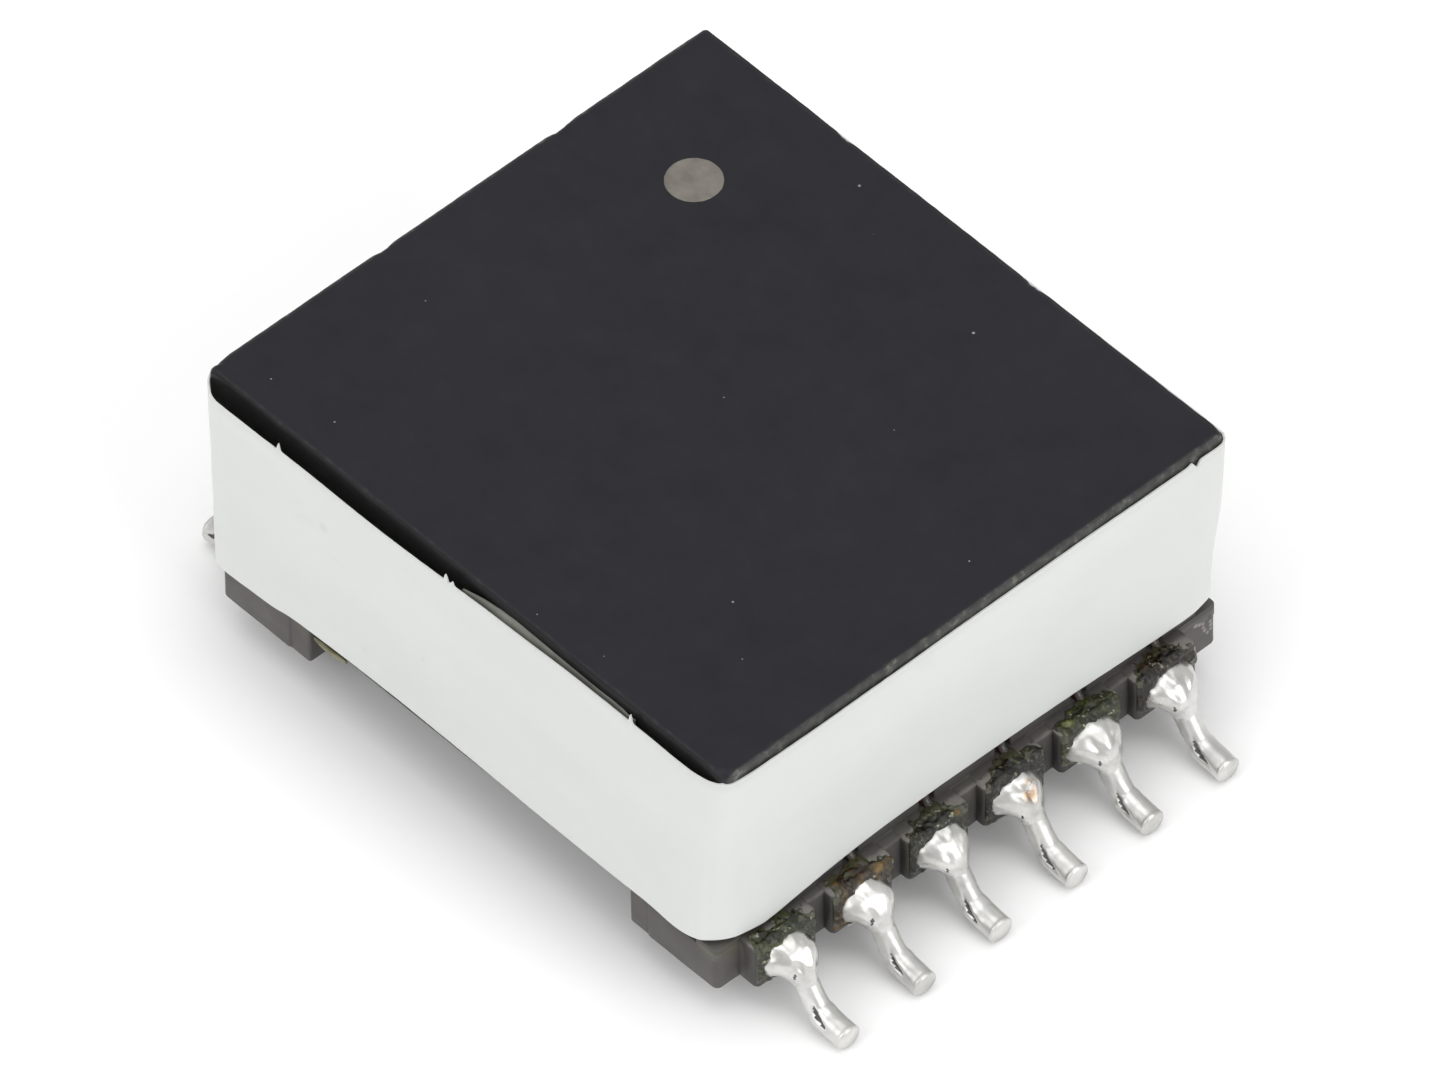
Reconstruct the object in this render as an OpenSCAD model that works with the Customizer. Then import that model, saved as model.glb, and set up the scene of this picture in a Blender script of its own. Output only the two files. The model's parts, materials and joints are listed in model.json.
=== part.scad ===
// Surface-mount power transformer: two ferrite core halves on a moulded coil
// former, six equal windings, twelve round-wire terminals bent to flat feet.
// Millimetres, +Z up. Origin on the seating plane, at the middle of the outline.

/* [Core] */
// Length of the upper ferrite plate, across the pin rows
plate_x = 22.0; // [18:0.1:26]
// Width of the upper ferrite plate, along the pin rows
plate_y = 19.6; // [16:0.1:22]
// Length of the lower plate, between the end walls of the former
lower_x = 18.4; // [15:0.1:20]
// Corner radius of the upper plate
plate_r = 0.2; // [0.1:0.05:2]
// Width of the lower half, along the pin rows
lower_y = 18.9; // [16:0.1:22]
// Thickness of each ferrite plate
plate_t = 2.0; // [1.5:0.1:3]
// Height of the top of the core over the board
top_z = 10.6; // [8:0.1:12]
// Height of the underside of the core over the board
seat_z = 2.65; // [2:0.05:4]
// Thickness of each outer leg
leg_t = 1.7; // [1:0.1:3]
// Diameter of the round centre post
post_d = 7.2; // [5:0.1:10]
// Gap in the centre post
post_gap = 0.32; // [0:0.01:1]
// How far the lower half sits off the upper half across the pin rows
slip_x = -0.3; // [-0.5:0.05:0.5]
// How far the lower half sits off the upper half along the pin rows
slip_y = -0.3; // [-0.5:0.05:0.5]

/* [Tape belt] */
// Height of the lower edge of the tape
belt_z0 = 3.3; // [3:0.05:5]
// Height of the upper edge of the tape
belt_z1 = 10.3; // [9:0.05:10.6]
// Thickness of the wound tape
belt_t = 0.16; // [0.05:0.01:0.4]
// Corner radius of the tape's inner face
belt_r = 0.25; // [0.2:0.05:2]

/* [Coil former] */
// Outer radius of the former's tube
tube_r = 4.2; // [3:0.1:6]
// Radius of the former's flanges
flange_r = 7.56; // [6:0.01:9]
// Thickness of the flanges
flange_t = 0.45; // [0.3:0.05:1]
// Outer face of each terminal rail, from the middle
rail_out = 10.59; // [9:0.01:12]
// Inner face of each terminal rail, from the middle
rail_in = 6.84; // [5:0.01:9]
// Underside of the rails over the board
rail_z0 = 1.24; // [0.5:0.01:2]
// Ledge on top of the rails
rail_z1 = 2.9; // [2:0.05:4]
// Length of the rails
rail_len = 19.74; // [15:0.01:22]
// Outer face of the pin blocks, from the middle
block_out = 11.34; // [10:0.01:13]
// Width of each pin block
block_w = 2.42; // [1.5:0.01:3]

/* [Terminals] */
// Pitch of the terminals
pitch = 3.0; // [2:0.1:5]
// Terminals on each rail
pins_a_side = 6; // [2:1:8]
// Diameter of the terminal wire
wire_d = 0.76; // [0.4:0.01:1.2]
// Height of the wire where it leaves the rail
stub_z = 2.06; // [1:0.01:3]
// Tips of the front row's feet, from the middle of the core
toe_front = 14.0; // [12:0.01:16]
// Tips of the rear row's feet, from the middle of the core
toe_rear = 13.4; // [12:0.01:16]
// Slope of the front row's wires between their two bends
drop_front = 60; // [45:1:85]
// Slope of the rear row's wires between their two bends
drop_rear = 74; // [45:1:85]
// Slope of each foot
foot_deg = 7; // [0:1:15]

/* [Windings] */
// Outer diameter of the enamelled wire
enam_d = 0.35; // [0.1:0.01:0.5]
// Centre distance of neighbouring turns
turn_p = 0.36; // [0.1:0.01:0.6]
// Layers of wire
layers = 9; // [1:1:12]
// Turns in each layer
rows = 8; // [1:1:12]

/* [Hidden] */

up_y = -slip_y / 2;              // middle of the upper half
lo_y = slip_y / 2;               // middle of the lower half and of the pin rows
coil_c = [slip_x / 2, 0, 0];     // axis of the coil
low_top = seat_z + plate_t;
high_bot = top_z - plate_t;
mate_z = (low_top + high_bot) / 2;
leg_x = lower_x;
fl_z0 = low_top + 0.05;          // lower flange
fl_z1 = high_bot - 0.05 - flange_t; // upper flange
row_z0 = fl_z0 + flange_t + (fl_z1 - fl_z0 - flange_t - (rows - 1) * turn_p) / 2;
lay_r0 = tube_r + 0.02 + enam_d / 2;
out_r = lay_r0 + (layers - 1) * turn_p;
wall_in = 9.62;                  // inner face of the end walls
wall_out = 10.65;                // outer face of the end walls
way_x = 10.28;                   // lead ways in the end walls
way_off = 0.25;                  // how far a lead comes down beside its terminal's middle
pin_y = [for (i = [0:pins_a_side - 1]) lo_y + (i - (pins_a_side - 1) / 2) * pitch];
bend_r1 = 0.65;
bend_r2 = 1.1;
stub_x = 11.35;                  // where the first bend starts
toe_z = 0.36;                    // middle of the foot's end over the board
function drop(side) = side > 0 ? drop_front : drop_rear;
// middle of the foot's end, ends of the first bend, of the drop and of the second bend
function toe_c(side) = (side > 0 ? toe_front : toe_rear) - wire_d / 2 * sin(foot_deg) - 0.004;
function e1(side) = [stub_x + bend_r1 * sin(drop(side)), stub_z - bend_r1 * (1 - cos(drop(side)))];
function turn(side) = [bend_r2 * (sin(drop(side)) - sin(foot_deg)), -bend_r2 * (cos(foot_deg) - cos(drop(side)))];
// straight length between the bends, so that the foot ends at toe_z
function run_l(side) = (e1(side)[1] + turn(side)[1] - (toe_c(side) - e1(side)[0] - turn(side)[0]) * tan(foot_deg) - toe_z)
        / (sin(drop(side)) - cos(drop(side)) * tan(foot_deg));
function e2(side) = e1(side) + run_l(side) * [cos(drop(side)), -sin(drop(side))];
function e3(side) = e2(side) + turn(side);
// the outline's middle lies on the origin
shift_x = -(toe_front - toe_rear) / 2;
eps = 0.01;
hair = 0.006;                    // the straights are this much thicker than the bends
lap = 0.03;                      // and run this far into them

ferrite = [0.19, 0.19, 0.21];
plastic = [0.33, 0.32, 0.32];
tape_white = [0.9, 0.91, 0.9];
tin = [0.78, 0.78, 0.77];
copper = [0.62, 0.30, 0.13];
flux = [0.22, 0.19, 0.1];

module block(x0, x1, y0, y1, z0, z1) {
  translate([x0, y0, z0]) cube([x1 - x0, y1 - y0, z1 - z0]);
}

// straight round bar between two points, with round ends when wanted
module bar(a, b, d, ball_a = false, ball_b = false) {
  v = b - a;
  l = norm(v);
  translate(a)
    rotate([0, acos(v[2] / l), atan2(v[1], v[0])])
      cylinder(h = l, d = d, $fn = 32);
  if (ball_a) translate(a) sphere(d = d + 0.02, $fn = 32);
  if (ball_b) translate(b) sphere(d = d + 0.02, $fn = 32);
}

// ---- ferrite core: plate, two outer legs and a round centre post in one piece

module core_top_half() color(ferrite) difference() {
  translate([0, up_y, 0]) {
    translate([0, 0, high_bot]) linear_extrude(height = plate_t)
      rounded_plan(-plate_x / 2, plate_x / 2, -plate_y / 2, plate_y / 2, plate_r);
    for (s = [-1, 1])
      block(-leg_x / 2, leg_x / 2, s > 0 ? plate_y / 2 - leg_t : -plate_y / 2,
            s > 0 ? plate_y / 2 : leg_t - plate_y / 2, mate_z, high_bot + eps);
    translate([0, 0, mate_z + post_gap / 2]) cylinder(h = high_bot - mate_z - post_gap / 2 + eps, d = post_d, $fn = 64);
  }
  dot_disc(1);
}

module core_bottom_half() color(ferrite) translate([slip_x, lo_y, 0]) {
  block(-lower_x / 2, lower_x / 2, -lower_y / 2, lower_y / 2, seat_z, low_top);
  for (s = [-1, 1])
    block(-leg_x / 2, leg_x / 2, s > 0 ? lower_y / 2 - leg_t : -lower_y / 2,
          s > 0 ? lower_y / 2 : leg_t - lower_y / 2, low_top - eps, mate_z);
  translate([0, 0, low_top - eps]) cylinder(h = mate_z - post_gap / 2 - low_top + eps, d = post_d, $fn = 64);
}

// ---- tape round the four sides, with a second layer where its end overlaps

module rounded_plan(x0, x1, y0, y1, r) {
  for (x = [x0 + r, x1 - r], y = [y0 + r, y1 - r]) translate([x, y]) circle(r = r, $fn = 48);
  translate([x0 + r, y0]) square([x1 - x0 - 2 * r, y1 - y0]);
  translate([x0, y0 + r]) square([x1 - x0, y1 - y0 - 2 * r]);
}

belt_x0 = -max(plate_x / 2, lower_x / 2 - slip_x) - 0.03;
belt_x1 = plate_x / 2 + 0.03;
belt_y = plate_y / 2 + up_y + 0.03;

module core_tape_belt() color(tape_white) {
  difference() {
    translate([0, 0, belt_z0]) linear_extrude(height = belt_z1 - belt_z0)
      rounded_plan(belt_x0 - belt_t, belt_x1 + belt_t, -belt_y - belt_t, belt_y + belt_t, belt_r + belt_t);
    translate([0, 0, belt_z0 - 1]) linear_extrude(height = belt_z1 - belt_z0 + 2)
      rounded_plan(belt_x0, belt_x1, -belt_y, belt_y, belt_r);
  }
  // overlapping end of the tape, on the rear side
  block(-7, 6.5, belt_y + belt_t - eps, belt_y + belt_t + 0.07, belt_z0 + 0.05, belt_z1 - 0.05);
}

// ---- coil former: tube, flanges, end walls and terminal rails in one moulding

module rail(side) mirror([side < 0 ? 1 : 0, 0, 0]) {
  y0 = up_y - rail_len / 2;
  y1 = up_y + rail_len / 2;
  difference() {
    union() {
      // bar under the core, and the ledge outside it
      block(rail_in, rail_out, y0, y1, rail_z0, seat_z);
      block(wall_in, rail_out, y0 + 0.75, y1 - 0.75, seat_z - eps, rail_z1);
      block(wall_in, rail_out, y0, y1, seat_z - eps, rail_z1);
      // pin blocks
      for (y = pin_y) block(rail_out - eps, block_out, y - block_w / 2, y + block_w / 2, rail_z0, rail_z1);
    }
    // shallow step down each end of the rail
    for (y = [y0 - 1, y1 - 0.05]) block(rail_in - 1, rail_in + 0.7, y, y + 1.05, rail_z0 - 1, seat_z + 1);
  }
}

module end_wall(side) mirror([side < 0 ? 1 : 0, 0, 0])
  block(wall_in, wall_out - 0.06, up_y - 9.1, up_y + 9.1, rail_z1 - eps, fl_z0 + flange_t);

// vertical ways for the leads through the end walls
module lead_ways(side) mirror([side < 0 ? 1 : 0, 0, 0])
  for (y = pin_y) block(9.98, 12, y + way_off - 0.3, y + way_off + 0.3, rail_z1, 9);

module coil_former() color(plastic) difference() {
  union() {
    for (z = [fl_z0, fl_z1]) {
      translate(coil_c + [0, 0, z]) cylinder(h = flange_t, r = flange_r, $fn = 96);
      block(-wall_out + 0.06, wall_out - 0.06, -7.0, 7.0, z, z + flange_t);
    }
    for (s = [-1, 1]) {
      mirror([s < 0 ? 1 : 0, 0, 0]) block(wall_in, wall_out - 0.06, up_y - 9.1, up_y + 9.1, fl_z0, fl_z0 + flange_t);
      rail(s);
      end_wall(s);
    }
    translate(coil_c + [0, 0, fl_z0]) cylinder(h = fl_z1 - fl_z0 + flange_t, r = tube_r, $fn = 96);
  }
  translate(coil_c + [0, 0, fl_z0 - 1]) cylinder(h = fl_z1 - fl_z0 + flange_t + 2, r = tube_r - 0.34, $fn = 96);
  lead_ways(-1);
  lead_ways(1);
  for (i = [0:5], s = [-1, 1]) pin_wire(i, s);
}

// ---- terminals: round wire, two bends, sloping foot with a flat underside

module wire_arc(r, c, from, to)
  translate([c[0], 0, c[1]]) rotate([90, 0, 0]) rotate([0, 0, from])
    rotate_extrude(angle = to - from, $fn = 96) translate([r, 0]) circle(d = wire_d, $fn = 32);

module pin_wire(i, side) mirror([side < 0 ? 1 : 0, 0, 0]) translate([0, pin_y[i], 0]) difference() {
  d = drop(side);
  a = e1(side);
  b = e2(side);
  c = e3(side);
  union() {
    bar([8.6, 0, stub_z], [stub_x + lap, 0, stub_z], wire_d + hair);
    wire_arc(bend_r1, [stub_x, stub_z - bend_r1], 90 - d, 90);
    bar([a[0] - lap * cos(d), 0, a[1] + lap * sin(d)], [b[0] + lap * cos(d), 0, b[1] - lap * sin(d)], wire_d + hair);
    wire_arc(bend_r2, [b[0] + bend_r2 * sin(d), b[1] + bend_r2 * cos(d)], 270 - d, 270 - foot_deg);
    bar([c[0] - lap * cos(foot_deg), 0, c[1] + lap * sin(foot_deg)], [toe_c(side), 0, toe_z], wire_d + hair);
  }
  block(10, 16, -2, 2, -2, 0);
}

module terminal(n) color(tin) pin_wire((n - 1) % 6, n <= 6 ? 1 : -1);

// ---- solder round each terminal where it leaves its block

joint_r = 0.88;
module solder_cone(i) translate([block_out, pin_y[i], 1.8]) {
  rotate([0, 98, 0]) translate([0, 0, -0.2]) cylinder(h = 0.95, r1 = joint_r, r2 = 0.46, $fn = 48);
}

module solder_joint(n) color(tin) {
  i = (n - 1) % 6;
  side = n <= 6 ? 1 : -1;
  difference() {
    mirror([side < 0 ? 1 : 0, 0, 0]) difference() {
      solder_cone(i);
      block(8, block_out, -12, 12, 0, 5);
      lead_tail(i);
    }
    pin_wire(i, side);
  }
}

// ---- burnt flux over each joint, on the face and the ledge of the block

module flux_row(side) color(flux)
  for (i = [0:5]) difference() {
    mirror([side < 0 ? 1 : 0, 0, 0]) difference() {
      union() {
        translate([block_out, pin_y[i] - 0.75, 2.3]) cube([0.46, 1.5, 0.6]);
        translate([rail_out + 0.1, pin_y[i] - 0.2, rail_z1]) cube([block_out - rail_out + 0.2, 0.9, 0.38]);
      }
      solder_cone(i);
      lead_tail(i);
    }
    pin_wire(i, side);
  }

module flux_residue_front() flux_row(1);
module flux_residue_rear() flux_row(-1);

// ---- six windings: turns laid side by side, each with a lead to both rails

// a lead's end: over the ledge, down the face of the pin block, onto the terminal
module lead_tail(i) {
  ys = pin_y[i] + way_off;
  bar([way_x, ys, rail_z1 + 0.22], [11.46, ys, rail_z1 + 0.22], enam_d, true, true);
  bar([11.46, ys, rail_z1 + 0.22], [11.6, ys - 0.1, rail_z1 - 0.1], enam_d, false, true);
  bar([11.6, ys - 0.1, rail_z1 - 0.1], [11.6, pin_y[i] + 0.06, stub_z + wire_d / 2 + enam_d / 2 + 0.02], enam_d, false, true);
}

module lead(i, side, grow = 0) {
  ys = pin_y[i] + way_off;
  z = row_z0 + lead_row(i) * turn_p;
  a = min(atan2(ys, way_x - coil_c[0] * side), 20);
  p0 = [coil_c[0] * side, 0, z] + out_r * [cos(a), sin(a), 0];
  mirror([side < 0 ? 1 : 0, 0, 0]) {
    bar(p0, [way_x, ys, z], enam_d + grow, false, true);
    if (grow == 0) {
      bar([way_x, ys, z], [way_x, ys, rail_z1 + 0.22], enam_d);
      lead_tail(i);
    }
  }
}

// the outer layer's row that each winding leaves from
function lead_row(i) = (i - ((layers - 1) * rows) % 6 + 6) % 6;

module winding(n) color(copper) {
  for (k = [0:layers - 1], j = [0:rows - 1])
    if ((k * rows + j) % 6 == n - 1)
      translate(coil_c + [0, 0, row_z0 + j * turn_p])
        rotate_extrude($fn = 72) translate([lay_r0 + k * turn_p, 0]) circle(d = enam_d, $fn = 24);
  lead(n - 1, 1);
  lead(n - 1, -1);
}

// ---- insulating tape over the finished coil, with holes for the leads

module coil_wrap_tape() color([0.86, 0.78, 0.35]) difference() {
  translate(coil_c + [0, 0, row_z0 - 0.2]) difference() {
    cylinder(h = (rows - 1) * turn_p + 0.4, r = out_r + 0.29, $fn = 96);
    translate([0, 0, -1]) cylinder(h = 6, r = out_r + 0.2, $fn = 96);
  }
  for (i = [0:5], s = [-1, 1]) lead(i, s, 0.04);
}

// ---- small things on the outside

// paint sunk level with the top, so that a flat face stays flat
module dot_disc(over = 0)
  translate([-6.76, 5.42 + up_y, top_z - 0.02]) cylinder(h = 0.02 + over, d = 1.75, $fn = 64);

module pin_one_dot() color([0.57, 0.55, 0.51]) dot_disc();

// bead of glue in the inner corner of the rear rail
module adhesive_bead() color([0.5, 0.47, 0.3]) difference() {
  translate([-rail_in + 0.1, up_y - rail_len / 2 + 0.55, seat_z - 0.12]) sphere(r = 0.4, $fn = 32);
  block(-12, -rail_in, -12, 12, 0, 5);
  block(-12, 12, -12, 12, seat_z, 5);
}

translate([shift_x, 0, 0]) {
  core_top_half();
  core_bottom_half();
  core_tape_belt();
  coil_former();
  coil_wrap_tape();
  pin_one_dot();
  adhesive_bead();
  flux_residue_front();
  flux_residue_rear();
  for (i = [1:6]) winding(i);
  for (i = [1:12]) terminal(i);
  for (i = [1:12]) solder_joint(i);
}
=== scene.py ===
import bpy
import bmesh
import json
import math
import random
from mathutils import Vector, Matrix, noise


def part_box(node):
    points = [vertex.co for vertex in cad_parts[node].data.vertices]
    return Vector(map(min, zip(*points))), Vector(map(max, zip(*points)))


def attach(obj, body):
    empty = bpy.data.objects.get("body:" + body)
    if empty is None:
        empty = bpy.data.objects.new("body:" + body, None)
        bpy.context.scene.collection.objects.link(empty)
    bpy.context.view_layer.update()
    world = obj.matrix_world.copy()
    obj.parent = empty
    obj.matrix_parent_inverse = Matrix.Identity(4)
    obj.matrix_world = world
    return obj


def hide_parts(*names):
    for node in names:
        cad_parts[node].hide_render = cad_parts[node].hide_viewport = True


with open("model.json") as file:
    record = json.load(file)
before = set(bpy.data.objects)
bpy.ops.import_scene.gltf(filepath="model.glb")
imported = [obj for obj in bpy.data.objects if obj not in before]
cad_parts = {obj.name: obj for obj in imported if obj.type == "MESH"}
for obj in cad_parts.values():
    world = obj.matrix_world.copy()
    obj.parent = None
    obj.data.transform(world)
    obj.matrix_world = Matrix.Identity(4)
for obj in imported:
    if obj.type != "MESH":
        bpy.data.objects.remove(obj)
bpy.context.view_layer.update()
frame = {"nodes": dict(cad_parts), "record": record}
MM = 0.001
_lo, _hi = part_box("core_top_half")
DX = round((_lo[0] + _hi[0]) * 500, 3)   # the upper plate's middle, in mm along X and Y
DY = 0.15
TOP = 10.6
PINS = [-7.65, -4.65, -1.65, 1.35, 4.35, 7.35]


# ------------------------------------------------------------------ materials

def s2l(c):
    return tuple((v / 255 / 12.92) if v / 255 <= 0.04045 else ((v / 255 + 0.055) / 1.055) ** 2.4 for v in c)


class Mat:
    """A small wrapper that builds a procedural material."""

    def __init__(self, name, rough=0.5, metal=0.0, spec=0.5, coat=0.0, coat_rough=0.1, sss=0.0, sss_r=(1, 1, 1), sss_scale=0.001):
        self.m = bpy.data.materials.new(name)
        self.m.use_nodes = True
        self.t = self.m.node_tree
        self.b = self.t.nodes["Principled BSDF"]
        self.b.inputs["Roughness"].default_value = rough
        self.b.inputs["Metallic"].default_value = metal
        self.b.inputs["Specular IOR Level"].default_value = spec
        if coat:
            self.b.inputs["Coat Weight"].default_value = coat
            self.b.inputs["Coat Roughness"].default_value = coat_rough
        if sss:
            self.b.inputs["Subsurface Weight"].default_value = sss
            self.b.inputs["Subsurface Radius"].default_value = sss_r
            self.b.inputs["Subsurface Scale"].default_value = sss_scale
        self.coord = self.t.nodes.new("ShaderNodeTexCoord")

    def noise(self, scale, detail=4.0, rough=0.55, stretch=None, offset=(0, 0, 0), dist=0.0):
        n = self.t.nodes.new("ShaderNodeTexNoise")
        n.inputs["Scale"].default_value = scale
        n.inputs["Detail"].default_value = detail
        n.inputs["Roughness"].default_value = rough
        n.inputs["Distortion"].default_value = dist
        mp = self.t.nodes.new("ShaderNodeMapping")
        mp.inputs["Location"].default_value = offset
        if stretch:
            mp.inputs["Scale"].default_value = stretch
        self.t.links.new(self.coord.outputs["Object"], mp.inputs["Vector"])
        self.t.links.new(mp.outputs["Vector"], n.inputs["Vector"])
        return n.outputs["Fac"]

    def voronoi(self, scale, feature="F1", out="Distance", rand=1.0):
        n = self.t.nodes.new("ShaderNodeTexVoronoi")
        n.feature = feature
        n.inputs["Scale"].default_value = scale
        n.inputs["Randomness"].default_value = rand
        self.t.links.new(self.coord.outputs["Object"], n.inputs["Vector"])
        return n.outputs[out]

    def ramp(self, src, stops, interp="LINEAR"):
        r = self.t.nodes.new("ShaderNodeValToRGB")
        r.color_ramp.interpolation = interp
        els = r.color_ramp.elements
        while len(els) < len(stops):
            els.new(0.5)
        for e, (p, c) in zip(els, stops):
            e.position = p
            if isinstance(c, (int, float)):
                c = (c, c, c)
            e.color = (*c, 1.0)
        self.t.links.new(src, r.inputs["Fac"])
        return r.outputs["Color"]

    def math(self, op, a, b=None, clamp=False):
        n = self.t.nodes.new("ShaderNodeMath")
        n.operation = op
        n.use_clamp = clamp
        for k, v in ((0, a), (1, b)):
            if v is None:
                continue
            if isinstance(v, (int, float)):
                n.inputs[k].default_value = v
            else:
                self.t.links.new(v, n.inputs[k])
        return n.outputs[0]

    def mix(self, fac, a, b):
        n = self.t.nodes.new("ShaderNodeMix")
        n.data_type = "RGBA"
        if isinstance(fac, (int, float)):
            n.inputs[0].default_value = fac
        else:
            self.t.links.new(fac, n.inputs[0])
        for k, v in ((6, a), (7, b)):
            if isinstance(v, tuple):
                n.inputs[k].default_value = (*v[:3], 1.0)
            else:
                self.t.links.new(v, n.inputs[k])
        return n.outputs[2]

    def xyz(self):
        n = self.t.nodes.new("ShaderNodeSeparateXYZ")
        self.t.links.new(self.coord.outputs["Object"], n.inputs[0])
        return n.outputs

    def spots(self, pts, r0, r1):
        """1 inside any of the spots (mm), falling to 0 between r0 and r1."""
        total = None
        for p in pts:
            n = self.t.nodes.new("ShaderNodeVectorMath")
            n.operation = "DISTANCE"
            self.t.links.new(self.coord.outputs["Object"], n.inputs[0])
            n.inputs[1].default_value = ((p[0] + DX) * MM, p[1] * MM, p[2] * MM)
            k = p[3] if len(p) > 3 else 1.0
            m = self.t.nodes.new("ShaderNodeMapRange")
            m.inputs["From Min"].default_value = r0 * k * MM
            m.inputs["From Max"].default_value = r1 * k * MM
            m.inputs["To Min"].default_value = 1.0
            m.inputs["To Max"].default_value = 0.0
            self.t.links.new(n.outputs["Value"], m.inputs["Value"])
            total = m.outputs[0] if total is None else self.math("MAXIMUM", total, m.outputs[0])
        return total

    def color(self, src):
        if isinstance(src, tuple):
            self.b.inputs["Base Color"].default_value = (*src[:3], 1.0)
        else:
            self.t.links.new(src, self.b.inputs["Base Color"])

    def rough(self, src):
        self.t.links.new(src, self.b.inputs["Roughness"])

    def bump(self, src, dist, strength=1.0, prev=None):
        n = self.t.nodes.new("ShaderNodeBump")
        n.inputs["Strength"].default_value = strength
        n.inputs["Distance"].default_value = dist * MM
        self.t.links.new(src, n.inputs["Height"])
        if prev is not None:
            self.t.links.new(prev, n.inputs["Normal"])
        self.t.links.new(n.outputs["Normal"], self.b.inputs["Normal"])
        return n.outputs["Normal"]


def mat_ferrite():
    k = Mat("ferrite", rough=0.46, spec=0.20)
    base = k.ramp(k.noise(900, 5, 0.6), [(0.3, s2l((28, 28, 33))), (0.7, s2l((34, 34, 39)))])
    cloud = k.ramp(k.noise(120, 3, 0.5), [(0.35, 0.0), (0.75, 1.0)])
    c = k.mix(k.math("MULTIPLY", cloud, 0.35), base, s2l((37, 37, 45)))
    # a few pale scratches and pressed-in grains on the top
    sp = k.spots([(-3.3, 8.9, TOP, 1.2), (3.2, 7.2 + DY, TOP, 1.3), (6.1, -4.8, TOP, 1.0), (0.1, 0.4, TOP, 0.6), (-8.6, -3.3, TOP, 0.6),
                  (9.6, 1.2, TOP, 0.8), (4.4, 3.1, TOP, 0.5), (7.9, -6.1, TOP, 0.6), (-9.4, -8.6, TOP, 0.7), (-6.9, -8.4, TOP, 0.8),
                  (2.6, -9.2, TOP, 0.6), (5.1, -8.9, TOP, 0.5)], 0.015, 0.045)
    fine = k.ramp(k.voronoi(1300), [(0.0, 1.0), (0.045, 0.0)])
    gate = k.ramp(k.noise(300, 2, 0.5, offset=(3.1, 1.7, 0.2)), [(0.64, 0.0), (0.70, 1.0)])
    sp = k.math("MAXIMUM", sp, k.math("MULTIPLY", fine, k.math("MULTIPLY", gate, 0.4)))
    c = k.mix(sp, c, s2l((150, 150, 150)))
    # speckled upper edges and a greyer side face above the tape: partly worn chips, partly painted highlight where the
    # bevel and side face catch the light
    x = k.xyz()
    ax = k.math("ABSOLUTE", k.math("SUBTRACT", k.math("MULTIPLY", x[0], 1000.0), DX))
    ay = k.math("ABSOLUTE", k.math("SUBTRACT", k.math("MULTIPLY", x[1], 1000.0), DY))
    ex = k.ramp(k.math("MULTIPLY", ax, 1 / 12.0), [(10.86 / 12, 0.0), (10.93 / 12, 1.0)])
    ey = k.ramp(k.math("MULTIPLY", ay, 1 / 12.0), [(9.62 / 12, 0.0), (9.68 / 12, 0.22), (9.74 / 12, 0.0)])
    hz = k.ramp(k.math("MULTIPLY", x[2], 1000 / 12.0), [(9.9 / 12, 0.0), (10.1 / 12, 1.0)])
    edge_wear_and_highlight = k.math("MULTIPLY", k.math("MAXIMUM", ex, ey), hz)
    rag = k.ramp(k.noise(2600, 4, 0.7, offset=(2.2, 0.7, 1.3)), [(0.40, 0.25), (0.56, 0.45), (0.64, 1.0)])
    c = k.mix(k.math("MULTIPLY", k.math("MULTIPLY", edge_wear_and_highlight, rag), 0.62), c, s2l((122, 121, 114)))
    # painted shadow: the side face in the narrow gap beside the tape is darkened almost to black
    sy = k.math("MULTIPLY", k.ramp(k.math("MULTIPLY", ay, 1 / 12.0), [(9.70 / 12, 0.0), (9.76 / 12, 1.0)]), 0.8)
    c = k.mix(sy, c, s2l((16, 16, 13)))
    k.color(c)
    k.rough(k.ramp(k.noise(500, 4, 0.6), [(0.3, 0.40), (0.7, 0.54)]))
    n = k.bump(k.noise(5200, 3, 0.6), 0.005, 0.5)
    k.bump(k.noise(700, 4, 0.6), 0.008, 0.4, n)
    return k.m


def mat_tape():
    k = Mat("white_tape", rough=0.42, spec=0.4, sss=0.15, sss_r=(1.0, 1.0, 0.95), sss_scale=0.0003)
    c = k.ramp(k.noise(110, 4, 0.6, stretch=(1, 1, 2.5)), [(0.3, s2l((209, 211, 208))), (0.7, s2l((214, 216, 213)))])
    x = k.xyz()
    # the layer's upper margin is a little greyer
    edge = k.math("MULTIPLY", k.ramp(k.math("MULTIPLY", x[2], 1000 / 12.0), [(0.825, 0.0), (0.845, 1.0)]), 0.25)
    c = k.mix(edge, c, s2l((190, 192, 188)))
    dirt = k.ramp(k.noise(420, 3, 0.5, offset=(0.4, 1.9, 2.3)), [(0.70, 0.0), (0.80, 1.0)])
    c = k.mix(k.math("MULTIPLY", dirt, 0.18), c, s2l((184, 182, 174)))
    # small pressed marks on the front
    k.color(k.mix(k.math("MULTIPLY", k.spots([(-5.6, -10.1, 8.4, 1.6), (-1.6, -10.0, 5.8, 1.0), (-4.2, -10.0, 4.1, 1.2)], 0.05, 0.16), 0.16), c, s2l((150, 152, 150))))
    k.rough(k.ramp(k.noise(260, 3, 0.5), [(0.3, 0.36), (0.7, 0.5)]))
    n = k.bump(k.noise(3500, 3, 0.6, stretch=(1, 1, 3)), 0.004, 0.5)
    k.bump(k.noise(160, 3, 0.5), 0.03, 0.35, n)
    return k.m


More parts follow.
